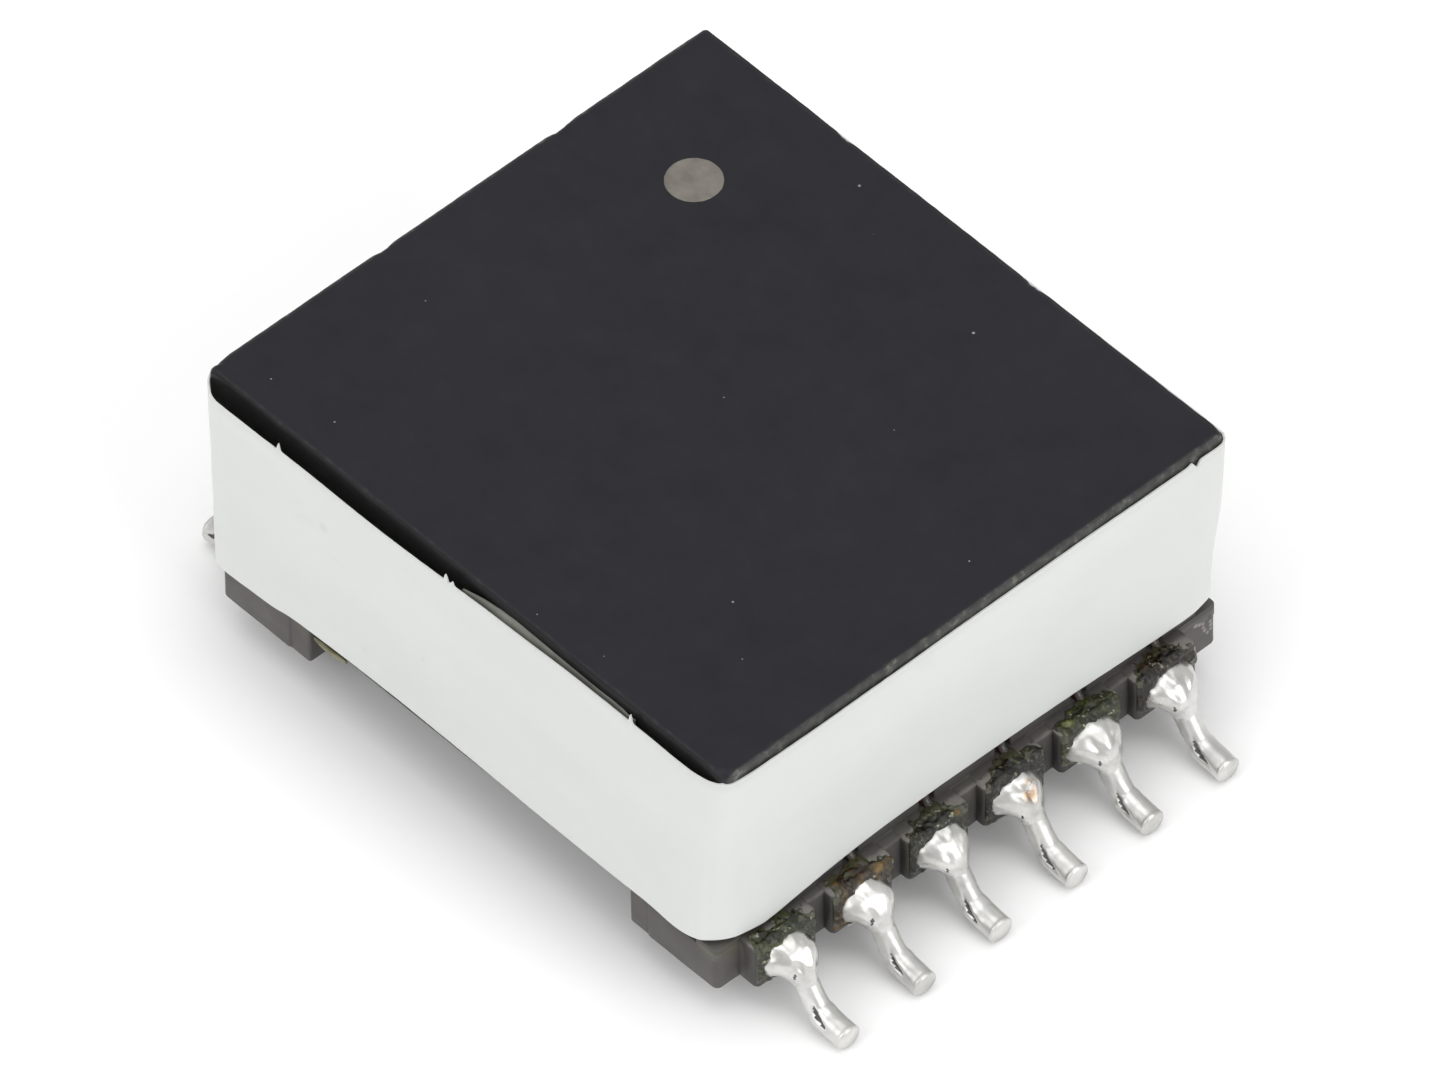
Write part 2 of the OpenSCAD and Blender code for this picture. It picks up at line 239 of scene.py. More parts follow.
def mat_plastic():
    k = Mat("former_plastic", rough=0.5, spec=0.45)
    c = k.ramp(k.noise(380, 5, 0.6), [(0.3, s2l((68, 65, 64))), (0.72, s2l((84, 80, 79)))])
    # thin varnish, olive, mostly on the ledge and the upper half of the outer face
    x = k.xyz()
    high = k.ramp(k.math("MULTIPLY", x[2], 1000 / 5.0), [(0.40, 0.0), (0.58, 1.0)])
    patch = k.ramp(k.noise(520, 4, 0.6, offset=(7.7, 3.1, 1.1)), [(0.47, 0.0), (0.60, 1.0)])
    v = k.math("MULTIPLY", k.math("MULTIPLY", high, patch), 0.55)
    c = k.mix(v, c, s2l((96, 97, 72)))
    grain = k.ramp(k.voronoi(2300), [(0.0, 1.0), (0.06, 0.0)])
    gate = k.ramp(k.noise(700, 2, 0.5, offset=(1.1, 5.7, 0.2)), [(0.60, 0.0), (0.66, 1.0)])
    c = k.mix(k.math("MULTIPLY", k.math("MULTIPLY", grain, gate), 0.7), c, s2l((185, 185, 180)))
    ax = k.math("ABSOLUTE", k.math("SUBTRACT", k.math("MULTIPLY", x[0], 1000.0), DX))
    ax = k.math("ADD", ax, k.math("MULTIPLY", k.math("SUBTRACT", k.noise(900, 4, 0.65, offset=(1.9, 0.3, 4.1)), 0.5), 0.5))
    # painted highlight: the ledge's top faces are made lighter, as if lit from above
    top = k.ramp(k.math("MULTIPLY", x[2], 1000 / 5.0), [(0.565, 0.0), (0.576, 1.0)])
    c = k.mix(k.math("MULTIPLY", top, 0.7), c, s2l((128, 123, 119)))
    # the blocks' outer parts below the ledge are darker: partly painted shade, partly flux staining
    blk = k.math("MULTIPLY", k.ramp(k.math("MULTIPLY", ax, 1 / 12.0), [(10.70 / 12, 0.0), (10.80 / 12, 1.0)]), k.ramp(k.math("MULTIPLY", x[2], 1000 / 5.0), [(0.55, 1.0), (0.575, 0.0)]))
    c = k.mix(k.math("MULTIPLY", blk, 0.62), c, s2l((44, 42, 40)))
    # painted shadow: a dark band on the ledge just under the tape, with a ragged lower edge
    under = k.math("MULTIPLY", k.ramp(k.math("MULTIPLY", ax, 1 / 12.0), [(10.84 / 12, 1.0), (10.98 / 12, 0.0)]), k.ramp(k.math("MULTIPLY", x[2], 1000 / 5.0), [(0.54, 0.0), (0.57, 1.0)]))
    c = k.mix(k.math("MULTIPLY", under, 0.6), c, s2l((34, 34, 33)))
    scuff = k.spots([(10.59, 9.20, 2.50, 1.0), (10.59, 9.34, 2.44, 1.0), (10.59, 9.48, 2.37, 0.9), (10.59, 9.50, 2.20, 0.8), (10.59, 9.55, 2.05, 0.9),
                     (10.59, 9.78, 2.28, 0.9), (10.59, 9.80, 2.12, 1.0), (10.59, 9.79, 1.95, 0.8), (10.59, 9.66, 1.88, 0.8)], 0.03, 0.10)
    c = k.mix(k.math("MULTIPLY", scuff, 0.6), c, s2l((168, 163, 160)))
    k.color(c)
    k.rough(k.ramp(k.noise(600, 4, 0.6), [(0.3, 0.38), (0.7, 0.6)]))
    n = k.bump(k.noise(2600, 4, 0.6), 0.01, 0.5)
    k.bump(k.noise(420, 3, 0.6), 0.04, 0.35, n)
    return k.m


def mat_tin(name, lo, hi, shade, bump=0.02, mid=(218, 217, 214), top=(234, 233, 231)):
    k = Mat(name, rough=0.25, metal=1.0, spec=0.5)
    c = k.ramp(k.noise(900, 4, 0.6, stretch=(0.7, 1.3, 1)), [(0.25, s2l(shade)), (0.6, s2l(mid)), (0.85, s2l(top))])
    if name == "solder":
        st = k.math("MULTIPLY", k.spots([(12.0, 1.30, 2.45, 1.0), (11.85, 1.45, 2.6, 0.8)], 0.10, 0.34), k.ramp(k.noise(2300, 4, 0.7), [(0.42, 0.0), (0.52, 1.0)]))
        c = k.mix(k.math("MULTIPLY", st, 0.8), c, s2l((138, 100, 54)))
    k.color(c)
    k.rough(k.ramp(k.noise(1500, 4, 0.6), [(0.3, lo), (0.7, hi)]))
    n = k.bump(k.noise(3200, 3, 0.6), 0.006, 0.5)
    k.bump(k.noise(950, 3, 0.55, dist=0.6), bump, 0.6, n)
    return k.m


def mat_flux(i, deep, mid, warm, amber, glint, lit):
    k = Mat(f"flux_{i}", rough=0.26, spec=0.4, coat=0.22, coat_rough=0.12)
    n1 = k.noise(1700, 5, 0.65, offset=(i * 1.3, i * 0.7, i * 2.1))
    c = k.ramp(n1, [(0.34, s2l(deep)), (0.52, s2l(mid)), (0.70, s2l(warm))])
    a = k.ramp(k.noise(1100, 3, 0.5, offset=(i * 3.3, 4.1, i * 1.1)), [(0.57, 0.0), (0.68, 1.0)])
    c = k.mix(k.math("MULTIPLY", a, amber), c, s2l((104, 78, 30)))
    if lit:
        c = k.mix(k.math("MULTIPLY", k.spots(lit, 0.06, 0.24), k.ramp(k.noise(2600, 4, 0.65), [(0.44, 0.0), (0.56, 1.0)])), c, s2l((114, 88, 36)))
    g = k.ramp(k.noise(3600, 3, 0.6, offset=(i * 2.9, 1.1, i)), [(0.63, 0.0), (0.69, 1.0)])
    c = k.mix(k.math("MULTIPLY", g, glint), c, s2l((190, 190, 160)))
    k.color(c)
    k.rough(k.ramp(k.noise(2500, 3, 0.6), [(0.3, 0.15), (0.7, 0.5)]))
    n = k.bump(k.noise(4200, 4, 0.65), 0.025, 0.8)
    k.bump(n1, 0.07, 0.7, n)
    return k.m


def mat_dot():
    k = Mat("dot_paint", rough=0.55, spec=0.3)
    c = k.ramp(k.noise(2400, 4, 0.6), [(0.3, s2l((104, 100, 93))), (0.7, s2l((122, 117, 109)))])
    holes = k.ramp(k.voronoi(3800), [(0.0, 1.0), (0.12, 0.0)])
    gate = k.ramp(k.noise(1900, 2, 0.5), [(0.5, 0.0), (0.6, 1.0)])
    k.color(k.mix(k.math("MULTIPLY", k.math("MULTIPLY", holes, gate), 0.6), c, s2l((78, 75, 70))))
    k.bump(k.noise(3000, 3, 0.6), 0.006, 0.5)
    return k.m


def mat_simple(name, a, b, rough, metal=0.0, scale=700, coat=0.0):
    k = Mat(name, rough=rough, metal=metal, coat=coat)
    k.color(k.ramp(k.noise(scale, 4, 0.6), [(0.3, s2l(a)), (0.7, s2l(b))]))
    k.bump(k.noise(scale * 4, 3, 0.6), 0.008, 0.4)
    return k.m


FERRITE = mat_ferrite()
TAPE = mat_tape()
PLASTIC = mat_plastic()
TIN = mat_tin("tinned_wire", 0.28, 0.46, (186, 185, 183), 0.020)
SOLDER = mat_tin("solder", 0.20, 0.42, (178, 177, 172), 0.045)
DOT = mat_dot()
# painted dark reflection, given to the faces in the slits beside the heels and to the pits on the solder lumps
TIN_PAINTED_REFLECTION = mat_simple("tin_shaded", (58, 57, 55), (104, 103, 100), 0.4, 0.3, 2600)
# the inner ply is the same white tape; its grey is painted shade from lying deep in the gap
PLY_PAINTED_SHADE = mat_simple("tape_inner_ply_shaded", (84, 84, 79), (116, 116, 109), 0.35, 0.0, 900)


def mat_copper():
    k = Mat("enamelled_copper", rough=0.3, coat=0.4)
    c = k.ramp(k.noise(900, 4, 0.6), [(0.3, s2l((140, 70, 36))), (0.7, s2l((172, 92, 50)))])
    ax = k.math("ABSOLUTE", k.math("SUBTRACT", k.math("MULTIPLY", k.xyz()[0], 1000.0), DX))
    out = k.ramp(k.math("MULTIPLY", ax, 1 / 12.0), [(10.38 / 12, 0.0), (10.50 / 12, 1.0)])
    k.color(k.mix(out, c, k.ramp(k.noise(2200, 4, 0.6), [(0.35, s2l((16, 12, 7))), (0.65, s2l((44, 32, 18)))])))
    k.t.links.new(k.ramp(out, [(0.0, 1.0), (1.0, 0.0)]), k.b.inputs["Metallic"])
    k.bump(k.noise(3600, 3, 0.6), 0.01, 0.4)
    return k.m


COPPER = mat_copper()
COIL_TAPE = mat_simple("coil_tape", (214, 186, 84), (228, 204, 112), 0.4)
VARNISH = mat_simple("flux_varnish", (38, 37, 26), (74, 75, 54), 0.3, 0.0, 1500, 0.3)
GLUE = mat_simple("glue", (94, 91, 66), (128, 124, 92), 0.25, 0.0, 1600, 0.4)
FLUX = [
    mat_flux(1, (10, 11, 6), (32, 36, 18), (78, 84, 50), 0.05, 0.5, []),
    mat_flux(2, (15, 10, 4), (40, 28, 12), (98, 76, 36), 0.6, 0.35, [(11.62, -3.95, 2.62, 1.5), (11.45, -4.05, 2.9, 1.2)]),
    mat_flux(3, (10, 11, 6), (25, 27, 15), (72, 72, 46), 0.05, 0.5, [(11.4, -0.95, 2.95, 0.9)]),
    mat_flux(4, (8, 7, 4), (21, 18, 11), (56, 50, 32), 0.12, 0.30, []),
    mat_flux(5, (10, 11, 5), (42, 46, 20), (108, 116, 62), 0.12, 0.9, [(11.5, 4.9, 2.95, 0.8)]),
    mat_flux(6, (7, 5, 3), (20, 14, 8), (52, 42, 24), 0.10, 0.35, []),
]

SLOT_MAT = {"ferrite": FERRITE, "white_tape": TAPE, "former_plastic": PLASTIC, "coil_tape": COIL_TAPE, "dot_paint": DOT,
            "glue": GLUE, "flux": FLUX[2], "enamelled_copper": COPPER, "tinned_wire": TIN, "solder": SOLDER}
for sp in frame["record"]["subparts"]:
    ob = frame["nodes"][sp["node"]]
    for s in range(len(ob.material_slots)):
        ob.material_slots[s].material = SLOT_MAT[sp["material_slot"]]
    if not ob.material_slots:
        ob.data.materials.append(SLOT_MAT[sp["material_slot"]])


# --------------------------------------------------------------- mesh helpers

def piece(name, verts, faces, mats, replaced=(), smooth=True, angle=None, mat_index=None):
    me = bpy.data.meshes.new(name)
    me.from_pydata([((v[0] + DX) * MM, v[1] * MM, v[2] * MM) for v in verts], [], faces)
    me.validate()
    me.update()
    # every shell's faces look outwards
    bm = bmesh.new()
    bm.from_mesh(me)
    bmesh.ops.recalc_face_normals(bm, faces=bm.faces)
    bm.to_mesh(me)
    bm.free()
    for m in (mats if isinstance(mats, list) else [mats]):
        me.materials.append(m)
    if mat_index:
        for p, k in zip(me.polygons, mat_index):
            p.material_index = k
    for p in me.polygons:
        p.use_smooth = smooth
    ob = bpy.data.objects.new(name, me)
    bpy.context.scene.collection.objects.link(ob)
    if smooth and angle is not None:
        me.set_sharp_from_angle(angle=math.radians(angle))
    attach(ob, "root")
    if replaced:
        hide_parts(*replaced)
    return ob


def grid_faces(n, m, wrap_n=True, wrap_m=False, base=0, flip=False):
    """Quads over n columns by m rows; vertex (i, j) is base + i * m + j."""
    out = []
    for i in range(n if wrap_n else n - 1):
        for j in range(m if wrap_m else m - 1):
            a = base + i * m + j
            b = base + ((i + 1) % n) * m + j
            c = base + ((i + 1) % n) * m + (j + 1) % m
            d = base + i * m + (j + 1) % m
            out.append((a, d, c, b) if flip else (a, b, c, d))
    return out


def nz(x, y, z, f, seed=0.0):
    """Smooth noise in -1..1 at f cycles a mm."""
    return noise.noise(Vector((x * f + seed * 7.13, y * f - seed * 3.71, z * f + seed * 1.97)))


def smooth(a, b, x):
    """0 at a, 1 at b, eased; a may be above b."""
    t = min(1.0, max(0.0, (x - a) / (b - a)))
    return t * t * (3 - 2 * t)


def spline(pts, n, closed=True):
    """Catmull-Rom through pts, n samples evenly spread by the first two coordinates' length."""
    k = len(pts)
    dense = []
    seg = k if closed else k - 1
    for i in range(seg):
        p = [pts[(i + d) % k] if closed else pts[min(max(i + d, 0), k - 1)] for d in (-1, 0, 1, 2)]
        for s in range(24):
            t = s / 24
            dense.append(tuple(
                0.5 * ((2 * b) + (-a + c) * t + (2 * a - 5 * b + 4 * c - d) * t * t + (-a + 3 * b - 3 * c + d) * t ** 3)
                for a, b, c, d in zip(*p)))
    dense.append(dense[0] if closed else tuple(pts[-1]))
    acc = [0.0]
    for a, b in zip(dense, dense[1:]):
        acc.append(acc[-1] + math.hypot(b[0] - a[0], b[1] - a[1]))
    out, j = [], 0
    for i in range(n):
        want = acc[-1] * i / (n if closed else n - 1)
        while j < len(acc) - 2 and acc[j + 1] < want:
            j += 1
        t = (want - acc[j]) / max(acc[j + 1] - acc[j], 1e-9)
        out.append(tuple(a + (b - a) * t for a, b in zip(dense[j], dense[j + 1])))
    return out


def bx(verts, faces, x0, x1, y0, y1, z0, z1, r=0.06):
    """A box with bevelled edges, added to verts and faces."""
    b = len(verts)
    pts = []
    for sx in (0, 1):
        for sy in (0, 1):
            for sz in (0, 1):
                X, Y, Z = (x0, x1)[sx], (y0, y1)[sy], (z0, z1)[sz]
                dx, dy, dz = (r, -r)[sx], (r, -r)[sy], (r, -r)[sz]
                pts += [(X, Y + dy, Z + dz), (X + dx, Y, Z + dz), (X + dx, Y + dy, Z)]
    verts += pts

    def v(sx, sy, sz, k):
        return b + (sx * 4 + sy * 2 + sz) * 3 + k

    for s in (0, 1):
        q = [v(s, 0, 0, 0), v(s, 1, 0, 0), v(s, 1, 1, 0), v(s, 0, 1, 0)]
        faces.append(tuple(q if s else q[::-1]))
        q = [v(0, s, 0, 1), v(1, s, 0, 1), v(1, s, 1, 1), v(0, s, 1, 1)]
        faces.append(tuple(q[::-1] if s else q))
        q = [v(0, 0, s, 2), v(1, 0, s, 2), v(1, 1, s, 2), v(0, 1, s, 2)]
        faces.append(tuple(q if s else q[::-1]))
    for a in (0, 1):
        for c in (0, 1):
            # edges along X (between faces Y and Z), along Y (X and Z), along Z (X and Y)
            for q, flip in (([v(0, a, c, 1), v(1, a, c, 1), v(1, a, c, 2), v(0, a, c, 2)], a == c),
                            ([v(a, 0, c, 0), v(a, 1, c, 0), v(a, 1, c, 2), v(a, 0, c, 2)], a != c),
                            ([v(a, c, 0, 0), v(a, c, 1, 0), v(a, c, 1, 1), v(a, c, 0, 1)], a == c)):
                faces.append(tuple(q[::-1] if flip else q))
    for sx in (0, 1):
        for sy in (0, 1):
            for sz in (0, 1):
                t = [v(sx, sy, sz, 0), v(sx, sy, sz, 1), v(sx, sy, sz, 2)]
                faces.append(tuple(t if (sx + sy + sz) % 2 else t[::-1]))


# ------------------------------------------------------------ upper core half

def rounded_outline(hx, hy, r, n, arc=14):
    r = list(r) if isinstance(r, (list, tuple)) else [r] * 4
    pts = []
    peri = 4 * (hx + hy) - 2 * sum(r) + math.pi * sum(r) / 2
    seg = [((-hx + r[3], -hy), (hx - r[0], -hy)), (hx - r[0], -hy + r[0], r[0], -90), ((hx, -hy + r[0]), (hx, hy - r[1])), (hx - r[1], hy - r[1], r[1], 0),
           ((hx - r[1], hy), (-hx + r[2], hy)), (-hx + r[2], hy - r[2], r[2], 90), ((-hx, hy - r[2]), (-hx, -hy + r[3])), (-hx + r[3], -hy + r[3], r[3], 180)]
    for s in seg:
        if len(s) == 2:
            L = math.dist(s[0], s[1])
            c = max(2, round(n * L / peri))
            d = ((s[1][0] - s[0][0]) / L, (s[1][1] - s[0][1]) / L)
            for i in range(c):
                t = i / c
                pts.append((s[0][0] + (s[1][0] - s[0][0]) * t, s[0][1] + (s[1][1] - s[0][1]) * t, d[1], -d[0]))
        else:
            for i in range(arc):
                a = math.radians(s[3] + 90 * i / arc)
                pts.append((s[0] + s[2] * math.cos(a), s[1] + s[2] * math.sin(a), math.cos(a), math.sin(a)))
    return pts


def slab(V, F, x0, x1, y0, y1, z0, z1, rc=0.1, b=0.05, n=24, wob=0.0, seed=0.0):
    """An upright bevelled prism with rounded corners; the bevel b stays below the corner radius rc."""
    hx, hy, cx, cy = (x1 - x0) / 2, (y1 - y0) / 2, (x0 + x1) / 2, (y0 + y1) / 2
    out = rounded_outline(hx, hy, rc, n, 6)
    k = len(V)
    prof = [(b, z0), (b * 0.3, z0 + b * 0.3), (0, z0 + b), (0, (z0 + z1) / 2), (0, z1 - b), (b * 0.3, z1 - b * 0.3), (b, z1)]
    for x, y, nx, ny in out:
        for d, z in prof:
            w = wob * nz(x + cx, y + cy, z, 0.9, seed) if wob else 0.0
            V.append((cx + x - nx * (d - w), cy + y - ny * (d - w), z + (wob * 0.5 * nz(x + cx, y + cy, 0, 0.8, seed + 3) if wob and z > (z0 + z1) / 2 else 0.0)))
    m = len(prof)
    F += grid_faces(len(out), m, base=k)
    F.append(tuple(k + i * m for i in range(len(out)))[::-1])
    F.append(tuple(k + i * m + m - 1 for i in range(len(out))))


CHIPS = [(11, 9.2, .30, .16), (11, 7.6, .18, .10), (11, 5.4, .35, .10), (11, 3.9, .20, .14), (11, 2.2, .5, .09), (11, .4, .22, .12), (11, -1.3, .3, .09),
         (11, -3.6, .25, .13), (11, -6.1, .4, .10), (11, -8.1, .28, .15), (10.8, -9.7, .5, .16), (8.2, -9.8, .35, .08), (4.2, -9.8, .4, .1), (0.5, -9.8, .3, .09),
         (-4.1, -9.8, .5, .1), (-8.0, -9.8, .3, .1), (-11, -9.6, .4, .14), (-11, -3, .3, .1), (-11, 4, .4, .12), (-5, 9.8, .3, .12), (3, 9.8, .4, .12), (11, 9.8, .3, .12)]


def make_plate():
    hx, hy = 10.975, 9.775
    out = rounded_outline(hx, hy, (0.42, 0.14, 0.14, 0.14), 1600)
    V, F = [], []
    rows = 9
    for x, y, nx, ny in out:
        b = 0.045 + 0.02 * (nz(x, y, 0, 1.3, 1) + nz(x, y, 0, 4.0, 2) * 0.6)
        for cx, cy, w, d in CHIPS:
            q = ((x - cx) ** 2 + (y - cy) ** 2) / (w * w)
            if q < 4:
                b += d * max(0.0, math.exp(-q) * (1 + 0.5 * nz(x, y, 0, 7, 3)) - 0.05)
        # the front edge at +X is nibbled all along
        if nx > 0.7:
            b += 0.05 * max(0.0, nz(x, y, 0, 2.6, 6) + 0.1) + 0.04 * max(0.0, nz(x, y, 0, 6.5, 7))
        if ny < -0.7:
            b += 0.035 + 0.03 * nz(x, y, 0, 1.9, 8)
        b = min(max(0.02, b), 0.24)
        wob = 0.012 * nz(x, y, 0, 0.6, 5)
        prof = [(0.30, 0), (b * 1.08, 0), (b * 0.62, b * 0.12), (b * 0.3, b * 0.36), (b * 0.08, b * 0.75), (0, b * 1.15), (0, 0.6), (0, 1.9), (0.05, 2.0)]
        for dx, dz in prof:
            V.append((x * (hx - dx) / hx + nx * wob, y * (hy - dx) / hy + ny * wob + DY, TOP - dz))
    n = len(out)
    F += grid_faces(n, rows, flip=True)
    F.append(tuple(i * rows for i in range(n)))
    F.append(tuple(i * rows + rows - 1 for i in range(n))[::-1])
    # outer legs and centre post, under the plate
    for s in (-1, 1):
        y0, y1 = (9.8 - 1.7, 9.8) if s > 0 else (-9.8, -9.8 + 1.7)
        bx(V, F, -9.2, 9.2, y0 + DY, y1 + DY, 6.63, 8.62, 0.08)
    b = len(V)
    prof = [(0.0, 6.79), (3.5, 6.79), (3.6, 6.89), (3.6, 8.62)]
    V.append((0, DY, 6.79))
    for i in range(72):
        a = 2 * math.pi * i / 72
        for r, z in prof[1:]:
            V.append((r * math.cos(a), r * math.sin(a) + DY, z))
    F += grid_faces(72, 3, base=b + 1)
    for i in range(72):
        F.append((b, b + 1 + ((i + 1) % 72) * 3, b + 1 + i * 3))
    F.append(tuple(b + 1 + i * 3 + 2 for i in range(72)))
    return piece("core_top_plate", V, F, FERRITE, ("core_top_half",), angle=28)


make_plate()


def make_lower():
    V, F = [], []
    slab(V, F, -9.5, 8.9, -9.70, 9.31, 2.65, 4.65, rc=0.10, b=0.07, n=500, wob=0.012, seed=51)
    slab(V, F, -9.5, 8.9, -9.66, -7.92, 4.60, 6.62, rc=0.06, b=0.04)
    slab(V, F, -9.5, 8.9, 7.62, 9.28, 4.60, 6.62, rc=0.06, b=0.04)
    n = 72
    k = len(V)
    prof = [(3.6, 4.5), (3.6, 6.36), (3.5, 6.46)]
    for i in range(n):
        a = 2 * math.pi * i / n
        for r, z in prof:
            V.append((-0.3 + r * math.cos(a), -0.15 + r * math.sin(a), z))
    F += grid_faces(n, 3, base=k)
    F.append(tuple(k + i * 3 for i in range(n))[::-1])
    F.append(tuple(k + i * 3 + 2 for i in range(n)))
    return piece("core_bottom_ferrite", V, F, FERRITE, ("core_bottom_half",), angle=35)


make_lower()


# ----------------------------------------------------------------- tape belt

# Outer face of the tape, anticlockwise from the rear left corner of the front
# side: (x, y) at its lower edge, (x, y) at its upper edge, heights of the two
# edges. The tape leans between the two core halves, which sit 0.3 mm apart.
BELT = [
    (-9.70, -10.25, -9.75, -10.34, 3.00, 10.24), (-8.10, -10.17, -8.3, -10.31, 2.98, 10.22), (-6.90, -10.10, -6.9, -10.26, 3.06, 10.20),
    (-2.75, -10.00, -2.8, -10.24, 3.04, 10.18), (1.46, -9.97, 1.5, -10.10, 2.92, 10.20), (5.65, -9.94, 5.6, -10.02, 2.80, 10.22),
    (7.75, -10.05, 7.8, -10.04, 3.00, 10.24), (9.14, -10.15, 9.3, -10.08, 3.08, 10.26), (9.88, -10.03, 10.15, -10.03, 3.10, 10.26),
    (10.22, -9.80, 10.62, -9.89, 3.12, 10.26), (10.47, -9.50, 10.90, -9.68, 3.13, 10.26), (10.66, -9.12, 11.04, -9.34, 3.14, 10.26),
    (10.80, -8.40, 11.09, -8.6, 3.16, 10.26), (10.82, -7.9, 11.10, -7.93, 3.18, 10.26), (10.76, -6.6, 11.11, -6.5, 3.26, 10.26),
    (10.68, -4.0, 11.10, -4.0, 3.42, 10.26), (10.66, -1.55, 11.08, -1.31, 3.47, 10.26), (10.66, 0.4, 11.07, 0.52, 3.47, 10.26),
    (10.68, 3.1, 11.07, 3.29, 3.47, 10.27), (10.72, 5.1, 11.08, 5.28, 3.44, 10.28), (10.76, 7.1, 11.09, 7.21, 3.40, 10.28),
    (10.76, 8.6, 11.10, 8.8, 3.38, 10.27), (10.68, 9.20, 11.10, 9.45, 3.36, 10.26), (10.52, 9.69, 11.04, 9.76, 3.34, 10.26), (10.18, 9.88, 10.82, 9.95, 3.33, 10.26), (9.60, 9.93, 10.3, 10.0, 3.3, 10.26),
    (6.0, 9.93, 6.2, 9.98, 3.2, 10.25), (1.5, 9.88, 1.5, 9.98, 3.2, 10.22), (-3.5, 9.88, -3.5, 9.98, 3.2, 10.22), (-8.0, 9.93, -8.2, 10.0, 3.2, 10.22),
    (-10.2, 9.95, -10.3, 10.0, 3.2, 10.22), (-10.86, 9.86, -10.90, 9.95, 3.2, 10.22), (-11.06, 9.60, -11.08, 9.72, 3.2, 10.22), (-11.12, 8.8, -11.12, 9.0, 3.2, 10.24),
    (-11.12, 4.0, -11.1, 4.0, 3.3, 10.24), (-11.12, -0.5, -11.08, -0.5, 3.3, 10.24), (-11.12, -5.0, -11.1, -5.0, 3.25, 10.24),
    (-11.05, -8.5, -11.11, -8.6, 3.15, 10.24), (-10.98, -9.45, -11.09, -9.45, 3.08, 10.24), (-10.75, -9.90, -10.95, -9.82, 3.04, 10.24), (-10.45, -10.17, -10.62, -10.11, 3.02, 10.24), (-10.05, -10.24, -10.25, -10.30, 3.0, 10.24),
]
# small white frayed points along the upper edge: x, y, height, half width
FRAYS = [(-7.45, -10.28, 0.34, 0.05), (-0.42, -10.17, 0.30, 0.06), (-0.17, -10.16, 0.2, 0.05), (7.25, -10.04, 0.36, 0.05), (10.9, -9.8, 0.10, 0.08), (11.08, 8.62, -0.22, 0.10), (11.08, 8.45, 0.08, 0.12)]


def lift(x, y, table):
    z = 0.0
    for fx, fy, h, w in table:
        q = ((x - fx) ** 2 + (y - fy) ** 2) / (w * w)
        if q < 9:
            z += h * math.exp(-q)
    return z


def ring_piece(name, ctrl, n, rows, thick, inset, z_in, mats, seed, replaced=(), frays=()):
    """A closed band: outer face through ctrl, thick in mm, inset moves the whole band inwards."""
    pts = spline([(c[0], c[1] + DY, c[2], c[3] + DY, c[4], c[5]) for c in ctrl], n)
    V = []
    for i in range(n):
        p, q, m = pts[i], pts[(i + 1) % n], pts[i - 1]
        tx, ty = q[0] - m[0], q[1] - m[1]
        L = math.hypot(tx, ty)
        nx, ny = ty / L, -tx / L
        z0, z1 = p[4], p[5]
        z0 += 0.02 * nz(p[0], p[1], 0, 0.5, seed + 1) + 0.008 * nz(p[0], p[1], 0, 3, seed + 2)
        z1 += 0.025 * nz(p[0], p[1], 0, 0.45, seed + 3) + 0.008 * nz(p[0], p[1], 0, 3.5, seed + 4)
        z0 += z_in[0]
        z1 += z_in[1] + lift(p[2], p[3] - DY, frays)
        for side in (0, 1):
            js = range(rows) if side == 0 else range(rows - 1, -1, -1)
            for j in js:
                t = j / (rows - 1)
                z = z0 + (z1 - z0) * t
                # flat on both plates, and leaning only between them
                e = 0.6 * smooth(4.0, 8.6, z) + 0.4 * t
                x = p[0] + (p[2] - p[0]) * e
                y = p[1] + (p[3] - p[1]) * e
                b = 4 * t * (1 - t)
                d = -inset + b * (0.05 * nz(x, y, z, 0.22, seed) + 0.02 * nz(x, y, z, 0.7, seed + 9)) - side * thick
                V.append((x + nx * d, y + ny * d, z))
    m = rows * 2
    F = grid_faces(n, m, wrap_m=True)
    return piece(name, V, F, mats, replaced, angle=50)


ring_piece("tape_outer_turn", BELT, 1500, 20, 0.06, 0.0, (0, 0), TAPE, 1.0, ("core_tape_belt",), FRAYS)


def inner_ply():
    """The end of an inner layer, standing a little off the others inside the front side."""
    V, n, m = [], 220, 12
    for i in range(n):
        t = i / (n - 1)
        x = 0.15 + 7.1 * t
        yo = -10.03 + 0.16 * t + 0.015 * nz(x, 0, 0, 0.9, 61)
        z1 = 10.20 + 0.13 * math.sin(math.pi * min(1.0, t * 1.15)) ** 0.7 * (1 - 0.6 * t) + 0.01 * nz(x, 0, 0, 3.0, 62)
        lean = 0.02 + 0.21 * math.sin(math.pi * min(1.0, t * 1.05)) ** 0.7 + 0.02 * nz(x, 0, 0, 1.4, 63)
        prof = [(0.0, 9.2), (0.0, 9.9), (lean * 0.6, z1 - 0.08), (lean, z1 - 0.01), (lean + 0.02, z1), (lean + 0.05, z1 - 0.005)]
        for d, z in prof:
            V.append((x, yo + d + DY, z))
        for d, z in ((lean + 0.055, z1 - 0.02), (lean * 0.6 + 0.05, z1 - 0.09), (0.05, 9.9), (0.05, 9.2), (0.035, 9.19), (0.015, 9.19)):
            V.append((x, yo + d + DY, z))
    F = grid_faces(n, m, wrap_n=False, wrap_m=True, flip=True)
    F.append(tuple(range(m)))
    F.append(tuple((n - 1) * m + j for j in range(m))[::-1])
    return piece("tape_inner_turn", V, F, PLY_PAINTED_SHADE, ("core_tape_belt",), angle=50)


inner_ply()


# -------------------------------------------------------------- coil former

